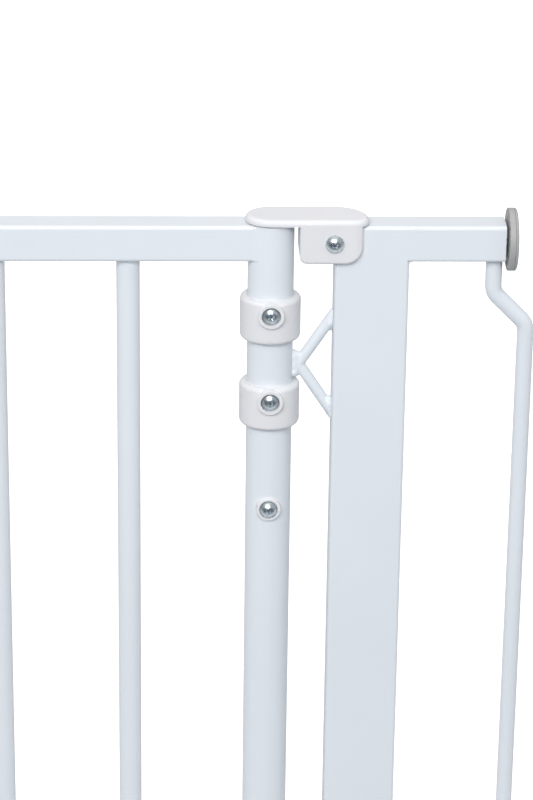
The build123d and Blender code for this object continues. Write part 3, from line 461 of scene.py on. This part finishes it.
FILLET = 3.0 * MM
FLAT_HALF = RAIL_HALF - EDGE_INSET
rail_boxes = {name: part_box(name) for name in ("top_rail_left", "top_rail_right", "bottom_rail")}
fillets, fillers = [], []
for (low, high), rail in zip(post_boxes, ("top_rail_left", "top_rail_right")):
    for z, vertical, beam in ((high.z, UNDER, rail), (low.z, UP, "bottom_rail")):
        for x, outward in ((low.x, Vector((-1, 0, 0))), (high.x, Vector((1, 0, 0)))):
            beam_low, beam_high = rail_boxes[beam]
            if beam_low.x < x + outward.x * FILLET < beam_high.x:
                fillets.append(corner_fillet((x, 0, z), outward, vertical, (0, 1, 0),
                                             FLAT_HALF, FILLET))
        for side in (-1, 1):
            fillers.append(groove_filler(
                (low.x + EDGE_INSET, side * RAIL_HALF, z), -vertical, (0, -side, 0), (1, 0, 0),
                high.x - low.x - RAIL_EDGE * 1.2, RAIL_EDGE))
make_piece("post_corner_welds", *joined(fillets), "powder_coat", "frame")
make_piece("post_groove_welds", *joined(fillers), "powder_coat", "frame", smooth=False)

stile_low, stile_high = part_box("latch_stile")
stile_fillets = [
    corner_fillet((stile_high.x, 0, stile_high.z), (1, 0, 0), UNDER, (0, 1, 0), FLAT_HALF, FILLET),
    corner_fillet((stile_high.x, 0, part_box("door_bottom_rail")[1].z), (1, 0, 0), UP, (0, 1, 0),
                  FLAT_HALF, FILLET),
]
make_piece("stile_corner_welds", *joined(stile_fillets), "powder_coat", "door")
stile_fillers = [
    groove_filler((stile_low.x + EDGE_INSET, side * RAIL_HALF, stile_high.z), UP,
                  (0, -side, 0), (1, 0, 0), stile_high.x - stile_low.x - RAIL_EDGE * 1.2, RAIL_EDGE)
    for side in (-1, 1)
]
sill_low, sill_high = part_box("door_bottom_rail")
stile_fillers += [
    groove_filler((stile_high.x, side * RAIL_HALF, sill_low.z + EDGE_INSET), (-1, 0, 0),
                  (0, -side, 0), UP, sill_high.z - sill_low.z - RAIL_EDGE * 1.2, RAIL_EDGE)
    for side in (-1, 1)
]
make_piece("stile_groove_welds", *joined(stile_fillers), "powder_coat", "door", smooth=False)


COPE_BEAD = 0.9 * MM
COPE_LEG = 2.6 * MM             # how far a cope's blend runs out along the rail
COPE_OVERLAP = 1.9 * MM         # and how far past the rail's side it runs round the tube
COPE_SUNK = (0.4 * MM, 0.8 * MM)
BEAD_SUNK = 0.1 * MM


def cope_path(level, start, end, count=61):
    """Places where a rail's outline meets the round hinge tube."""
    path = []
    for y, z in outline(RAIL_HALF, RAIL_EDGE, math.radians(start), math.radians(end), count):
        depth = math.sqrt(TUBE_RADIUS ** 2 - y * y)
        path.append(Vector((HINGE.x - depth - BEAD_SUNK, y, level + z)))
    return path


def cope_fillet(low_z, high_z, side, stations=17):
    """Weld metal dressed to a smooth blend between a rail's side and the round hinge tube."""
    meeting = math.asin(RAIL_HALF / TUBE_RADIUS)
    reach = math.asin(min(1.0, (RAIL_HALF + COPE_OVERLAP) / TUBE_RADIUS))
    start = Vector((HINGE.x - TUBE_RADIUS * math.cos(meeting) - COPE_LEG, side * RAIL_HALF, 0))
    finish = Vector((HINGE.x - TUBE_RADIUS * math.cos(reach),
                     side * TUBE_RADIUS * math.sin(reach), 0))
    slope = Vector((math.sin(reach), side * math.cos(reach), 0)) * COPE_LEG
    blend = []
    for k in range(13):
        t = k / 12
        curve = [start, start + Vector((COPE_LEG, 0, 0)), finish - slope, finish]
        weights = ((1 - t) ** 3, 3 * t * (1 - t) ** 2, 3 * t * t * (1 - t), t ** 3)
        blend.append(sum((point * w for point, w in zip(curve, weights)), Vector((0, 0, 0))))
    sunk = Vector((COPE_SUNK[0], -side * COPE_SUNK[1], 0))
    loop = [*blend, finish + sunk, start + sunk]
    if side > 0:
        loop.reverse()
    vertices = [point + UP * (low_z + (high_z - low_z) * k / (stations - 1))
                for k in range(stations) for point in loop]
    return vertices, closed_faces(stations, len(loop))


top_axis = (RAIL_UNDER + RAIL_TOP) / 2
sill_axis = (sill_low.z + sill_high.z) / 2
copes = [
    cope_fillet(level + RAIL_EDGE * 0.5, level + 2 * RAIL_HALF - RAIL_EDGE * 0.5, side)
    for level in (RAIL_UNDER, sill_low.z) for side in (-1, 1)
]
make_piece("cope_fillets", *joined(copes), "powder_coat", "door")
cope_beads = [
    bead(cope_path(top_axis, -140, -40), COPE_BEAD),
    bead(cope_path(sill_axis, 40, 140), COPE_BEAD),
]
make_piece("cope_beads", *joined(cope_beads), "powder_coat", "door")


# ------------------------------------------------------------------ V bracket of the fixed hinge tube
BRACKET_ROD = 3.15 * MM
BRACKET_STAND_OFF = 15.7 * MM             # from the hinge axis to the point of the V
BRACKET_LEAN = math.radians(56.5)
BRACKET_VOXEL = 0.42 * MM
BRACKET_SMOOTHING = 6
METAL_LUMP = 2.5 * MM
METAL_UNEVEN = 0.28
METAL_REACH = 3 * MM
FOOT_INSET = -1.2 * MM
FOOT_INWARDS = 0.12                       # of the foot's height over the point
FOOT_LUMP = (2.8 * MM, 3.8 * MM, 5.4 * MM)
POINT_LUMPS = (                           # places from the point of the V, and half sizes
    ((-1.6 * MM, 0, 0), (5.2 * MM, 3.3 * MM, 6.4 * MM)),
    ((-2.6 * MM, 0, 4.4 * MM), (3.5 * MM, 3.3 * MM, 3.6 * MM)),
    ((-2.6 * MM, 0, -4.4 * MM), (3.5 * MM, 3.3 * MM, 3.6 * MM)),
)
SEAM_INSET = -2.7 * MM                    # the bead along the fixed tube
SEAM_HALF = 5.6 * MM
SEAM_RADIUS = 3.1 * MM


def blob(centre, size, rings=14, segments=24):
    """A lump of weld metal, uneven all over."""
    vertices = []
    for i in range(rings + 1):
        tilt = math.pi * (i + 0.02) / (rings + 0.04)
        for k in range(segments):
            turn = 2 * math.pi * k / segments
            ray = Vector((math.sin(tilt) * math.cos(turn), math.sin(tilt) * math.sin(turn),
                          math.cos(tilt)))
            swell = wander(centre + ray * METAL_REACH, METAL_LUMP, METAL_UNEVEN)
            vertices.append(centre + Vector(a * b for a, b in zip(ray, size)) * swell)
    return vertices, closed_faces(rings + 1, segments)


def rod_between(start, end, radius):
    """A plain round rod from one point to another."""
    axis = end - start
    return lathe([(radius, 0.0), (radius, axis.length)], start, axis.normalized(), segments=48)


def melted(name, parts, voxel, smoothing):
    """One skin over overlapping solids, softened where they meet."""
    mesh = bpy.data.meshes.new(name)
    vertices, faces = joined(parts)
    mesh.from_pydata([tuple(v) for v in vertices], [], faces)
    rough = bpy.data.objects.new(name, mesh)
    bpy.context.scene.collection.objects.link(rough)
    remesh = rough.modifiers.new("remesh", "REMESH")
    remesh.mode = "VOXEL"
    remesh.voxel_size = voxel
    soften = rough.modifiers.new("soften", "SMOOTH")
    soften.iterations = smoothing
    evaluated = rough.evaluated_get(bpy.context.evaluated_depsgraph_get())
    skin = evaluated.to_mesh()
    vertices = [v.co.copy() for v in skin.vertices]
    faces = [tuple(face.vertices) for face in skin.polygons]
    evaluated.to_mesh_clear()
    bpy.data.objects.remove(rough)
    bpy.data.meshes.remove(mesh)
    return vertices, faces


bracket_low, bracket_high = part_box("hinge_bracket")
vertex = Vector((HINGE.x + BRACKET_STAND_OFF, 0, (bracket_low.z + bracket_high.z) / 2))
reach = bracket_high.x - vertex.x
rise = reach * math.tan(BRACKET_LEAN)
feet = [vertex + Vector((reach, 0, side * rise)) for side in (-1, 1)]
bracket_parts = [
    rod_between(vertex, foot + (foot - vertex).normalized() * BRACKET_ROD, BRACKET_ROD)
    for foot in feet
]
bracket_parts += [
    blob(foot + Vector((FOOT_INSET, 0, (vertex.z - foot.z) * FOOT_INWARDS)), FOOT_LUMP)
    for foot in feet
]
bracket_parts += [blob(vertex + Vector(place), size) for place, size in POINT_LUMPS]
bracket_parts.append(rod_between(
    vertex + Vector((SEAM_INSET, 0, -SEAM_HALF)), vertex + Vector((SEAM_INSET, 0, SEAM_HALF)),
    SEAM_RADIUS))
make_piece("hinge_bracket_welded",
           *melted("bracket_rough", bracket_parts, BRACKET_VOXEL, BRACKET_SMOOTHING),
           "powder_coat", "frame", replaces=("hinge_bracket",))


# ------------------------------------------------------------------ wall adjusters
THREAD_PITCH = 3.0 * MM
THREAD_DEPTH = 1.0 * MM
THREAD_FLANK = 2.6              # higher is steeper between crest and root
THREAD_LEAD_IN = 0.16           # how much thinner the rod is at its two ends
PAD_EDGE = 1.1 * MM
PAD_LIP = (0.25 * MM, 0.2 * MM)
PAD_CENTRE = 0.002 * MM         # a hair off the axis, which keeps the middle closed
GROOVE_RINGS = (0.78, 0.56, 0.34)         # of the pad's radius
GROOVE_HALF_TOP = 0.9 * MM
GROOVE_HALF_FLOOR = 0.5 * MM
GROOVE_DEPTH = 0.45 * MM


def threaded_rod(start, axis, length, radius, steps=14, segments=36):
    """Round-crested screw thread along an axis."""
    across, along = axes_about(axis)
    count = round(length / THREAD_PITCH * steps)
    vertices = []
    for i in range(count + 1):
        height = length * i / count
        inwards = min(1.0, height / THREAD_PITCH, (length - height) / THREAD_PITCH)
        shrink = 1 - THREAD_LEAD_IN * (1 - inwards)
        for k in range(segments):
            phase = height / THREAD_PITCH - k / segments
            crest = 0.5 + 0.5 * math.tanh(THREAD_FLANK * math.cos(2 * math.pi * phase))
            reach = (radius - THREAD_DEPTH * (1 - crest)) * shrink
            turn = 2 * math.pi * k / segments
            arm = across * math.cos(turn) + along * math.sin(turn)
            vertices.append(start + axis * height + arm * reach)
    return vertices, closed_faces(count + 1, segments)


def pad_profile(thickness, radius):
    """Half section of the rubber pad: rounded lip and three shallow grooves in its face."""
    profile = [(PAD_CENTRE, 0.0), (radius - PAD_LIP[0], 0.0), (radius, PAD_LIP[1])]
    for k in range(7):
        turn = math.pi / 2 * k / 6
        profile.append((radius - PAD_EDGE * (1 - math.cos(turn)),
                        thickness - PAD_EDGE * (1 - math.sin(turn))))
    for groove in (radius * share for share in GROOVE_RINGS):
        profile += [(groove + GROOVE_HALF_TOP, thickness),
                    (groove + GROOVE_HALF_FLOOR, thickness - GROOVE_DEPTH),
                    (groove - GROOVE_HALF_FLOOR, thickness - GROOVE_DEPTH),
                    (groove - GROOVE_HALF_TOP, thickness)]
    profile.append((PAD_CENTRE, thickness))
    return profile


for level, hand in ADJUSTERS:
    side = Vector((-1 if hand == "left" else 1, 0, 0))
    low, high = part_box(f"spindle_{level}_{hand}")
    middle = Vector(((low.x + high.x) / 2, 0, (low.z + high.z) / 2))
    length = high.x - low.x
    start = middle - side * length / 2
    make_piece(f"spindle_thread_{level}_{hand}",
               *threaded_rod(start, side, length, (high.z - low.z) / 2),
               "bright_steel", f"adjuster_{level}_{hand}", replaces=(f"spindle_{level}_{hand}",))
    low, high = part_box(f"wall_pad_{level}_{hand}")
    middle = Vector(((low.x + high.x) / 2, 0, (low.z + high.z) / 2))
    thickness = high.x - low.x
    start = middle - side * thickness / 2
    make_piece(f"rubber_pad_{level}_{hand}",
               *lathe(pad_profile(thickness, (high.z - low.z) / 2), start, side),
               "grey_rubber", f"pad_{level}_{hand}", replaces=(f"wall_pad_{level}_{hand}",))


# ------------------------------------------------------------------ studio
FLOOR_SIDE = 9.0
FLOOR_FRONT = 0.28
FLOOR_GLOW = 0.05               # as the object sees the floor
FLOOR_GLOW_SEEN = 0.75          # as the camera sees it
KEY_POWER = 54
OVERHEAD_POWER = 6
FILL_POWER = 1.2
ROOM_STRENGTH = 0.62
WHITE_STRENGTH = 1.1
FRONT_START, FRONT_FULL = -0.25, -0.75    # directions along Y where the dark front comes in
ROOM_TONES = ((0.0, (0.95, 0.95, 0.95)), (0.46, (0.60, 0.62, 0.65)), (0.6, (0.66, 0.68, 0.71)),
              (1.0, (1.0, 1.0, 1.0)))
FRONT_TONES = ((0.0, (0.45, 0.50, 0.54)), (0.18, (0.40, 0.47, 0.52)), (0.28, (0.10, 0.15, 0.19)),
               (0.40, (0.05, 0.08, 0.12)), (0.52, (0.12, 0.16, 0.22)), (0.66, (0.55, 0.60, 0.66)),
               (0.80, (1.0, 1.0, 1.0)))


def floor_paint():
    """Pale matt floor that glows to the eye, but hardly lights the object."""
    s = Shader("floor_paint", (0.93, 0.93, 0.93), 0.8)
    s.tint(s.noise(3, 3), (0.925, 0.925, 0.925), (0.94, 0.94, 0.94))
    s.bump(s.noise(300, 2), 0.0001, 0.2)
    s.set(Emission_Color=(1, 1, 1, 1), Specular_IOR_Level=0.1)
    seen = s.add("ShaderNodeLightPath").outputs["Is Camera Ray"]
    s.feed(s.bsdf, "Emission Strength", s.spread(seen, FLOOR_GLOW, FLOOR_GLOW_SEEN, middle=(0, 1)))
    return s.material


mesh = bpy.data.meshes.new("floor")
corners = [(-FLOOR_SIDE, -FLOOR_FRONT), (FLOOR_SIDE, -FLOOR_FRONT), (FLOOR_SIDE, FLOOR_SIDE),
           (-FLOOR_SIDE, FLOOR_SIDE)]
mesh.from_pydata([(x, y, cad_low.z) for x, y in corners], [], [(0, 1, 2, 3)])
mesh.materials.append(floor_paint())
floor = bpy.data.objects.new("floor", mesh)
bpy.context.scene.collection.objects.link(floor)
floor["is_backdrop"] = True


def softbox(name, place, aim, size, power, colour=(1, 1, 1)):
    """A rectangular area light turned towards a point."""
    lamp = bpy.data.lights.new(name, "AREA")
    lamp.shape = "RECTANGLE"
    lamp.size, lamp.size_y = size
    lamp.energy = power
    lamp.color = colour
    light = bpy.data.objects.new(name, lamp)
    light.location = place
    light.rotation_euler = (Vector(aim) - Vector(place)).to_track_quat("-Z", "Y").to_euler()
    bpy.context.scene.collection.objects.link(light)


softbox("key", HINGE + Vector((-0.4, -2.15, 1.35)), HINGE, (1.7, 1.2), KEY_POWER,
        (1.0, 0.998, 0.995))
softbox("overhead", HINGE + Vector((0.1, 0.2, 1.9)), HINGE, (2.6, 2.0), OVERHEAD_POWER)
softbox("fill", HINGE + Vector((1.9, -1.2, 0.3)), HINGE, (0.9, 1.4), FILL_POWER,
        (0.95, 0.975, 1.0))


def studio_world():
    """White to the eye; to the object a bright room, with a dark blue-grey one low in front."""
    world = bpy.data.worlds.new("studio")
    world.use_nodes = True
    tree = world.node_tree
    tree.nodes.clear()

    def node(kind, **inputs):
        made = tree.nodes.new(kind)
        for name, value in inputs.items():
            socket = made.inputs[name.replace("_", " ")]
            if isinstance(value, bpy.types.NodeSocket):
                tree.links.new(value, socket)
            else:
                socket.default_value = value
        return made

    def ramp(factor, tones):
        made = node("ShaderNodeValToRGB", Fac=factor)
        elements = made.color_ramp.elements
        while len(elements) < len(tones):
            elements.new(0.5)
        for element, (position, colour) in zip(elements, tones):
            element.position = position
            element.color = (*colour, 1)
        return made.outputs["Color"]

    place = node("ShaderNodeTexCoord").outputs["Generated"]
    split = node("ShaderNodeSeparateXYZ", Vector=place)
    height = node("ShaderNodeMapRange", Value=split.outputs["Z"])
    height.inputs["From Min"].default_value = -1
    ahead = node("ShaderNodeMapRange", Value=split.outputs["Y"])
    ahead.inputs["From Min"].default_value = FRONT_START
    ahead.inputs["From Max"].default_value = FRONT_FULL
    room = ramp(height.outputs["Result"], ROOM_TONES)
    front = ramp(height.outputs["Result"], FRONT_TONES)
    mixed = node("ShaderNodeMixRGB", Fac=ahead.outputs["Result"], Color1=room, Color2=front)
    lit = node("ShaderNodeBackground", Color=mixed.outputs["Color"], Strength=ROOM_STRENGTH)
    white = node("ShaderNodeBackground", Color=(1, 1, 1, 1), Strength=WHITE_STRENGTH)
    seen = node("ShaderNodeLightPath").outputs["Is Camera Ray"]
    mix = node("ShaderNodeMixShader", Fac=seen)
    tree.links.new(lit.outputs["Background"], mix.inputs[1])
    tree.links.new(white.outputs["Background"], mix.inputs[2])
    output = node("ShaderNodeOutputWorld")
    tree.links.new(mix.outputs["Shader"], output.inputs["Surface"])
    return world


bpy.context.scene.world = studio_world()
bpy.context.scene.view_settings.view_transform = "Standard"

# ------------------------------------------------------------------ camera
CAMERA_PLACE = HINGE + Vector((-0.05654, -1.53556, 0.50331))
PITCH, YAW, ROLL = 0.3758, 0.0359, 0.0129
SENSOR_WIDTH = 36
LENS = 135.74
CLIP_END = 100
forward = Vector((math.sin(YAW) * math.cos(PITCH), math.cos(YAW) * math.cos(PITCH), -math.sin(PITCH)))
right = Vector((math.cos(YAW), -math.sin(YAW), 0))
above = right.cross(forward)
rolled_right = right * math.cos(ROLL) + above * math.sin(ROLL)
rolled_above = above * math.cos(ROLL) - right * math.sin(ROLL)
camera_data = bpy.data.cameras.new("camera")
camera_data.sensor_width = SENSOR_WIDTH
camera_data.lens = LENS
camera_data.clip_end = CLIP_END
camera = bpy.data.objects.new("camera", camera_data)
turned = Matrix((rolled_right, rolled_above, -forward)).transposed().to_4x4()
camera.matrix_world = Matrix.Translation(CAMERA_PLACE) @ turned
bpy.context.scene.collection.objects.link(camera)
bpy.context.scene.camera = camera

low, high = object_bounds()
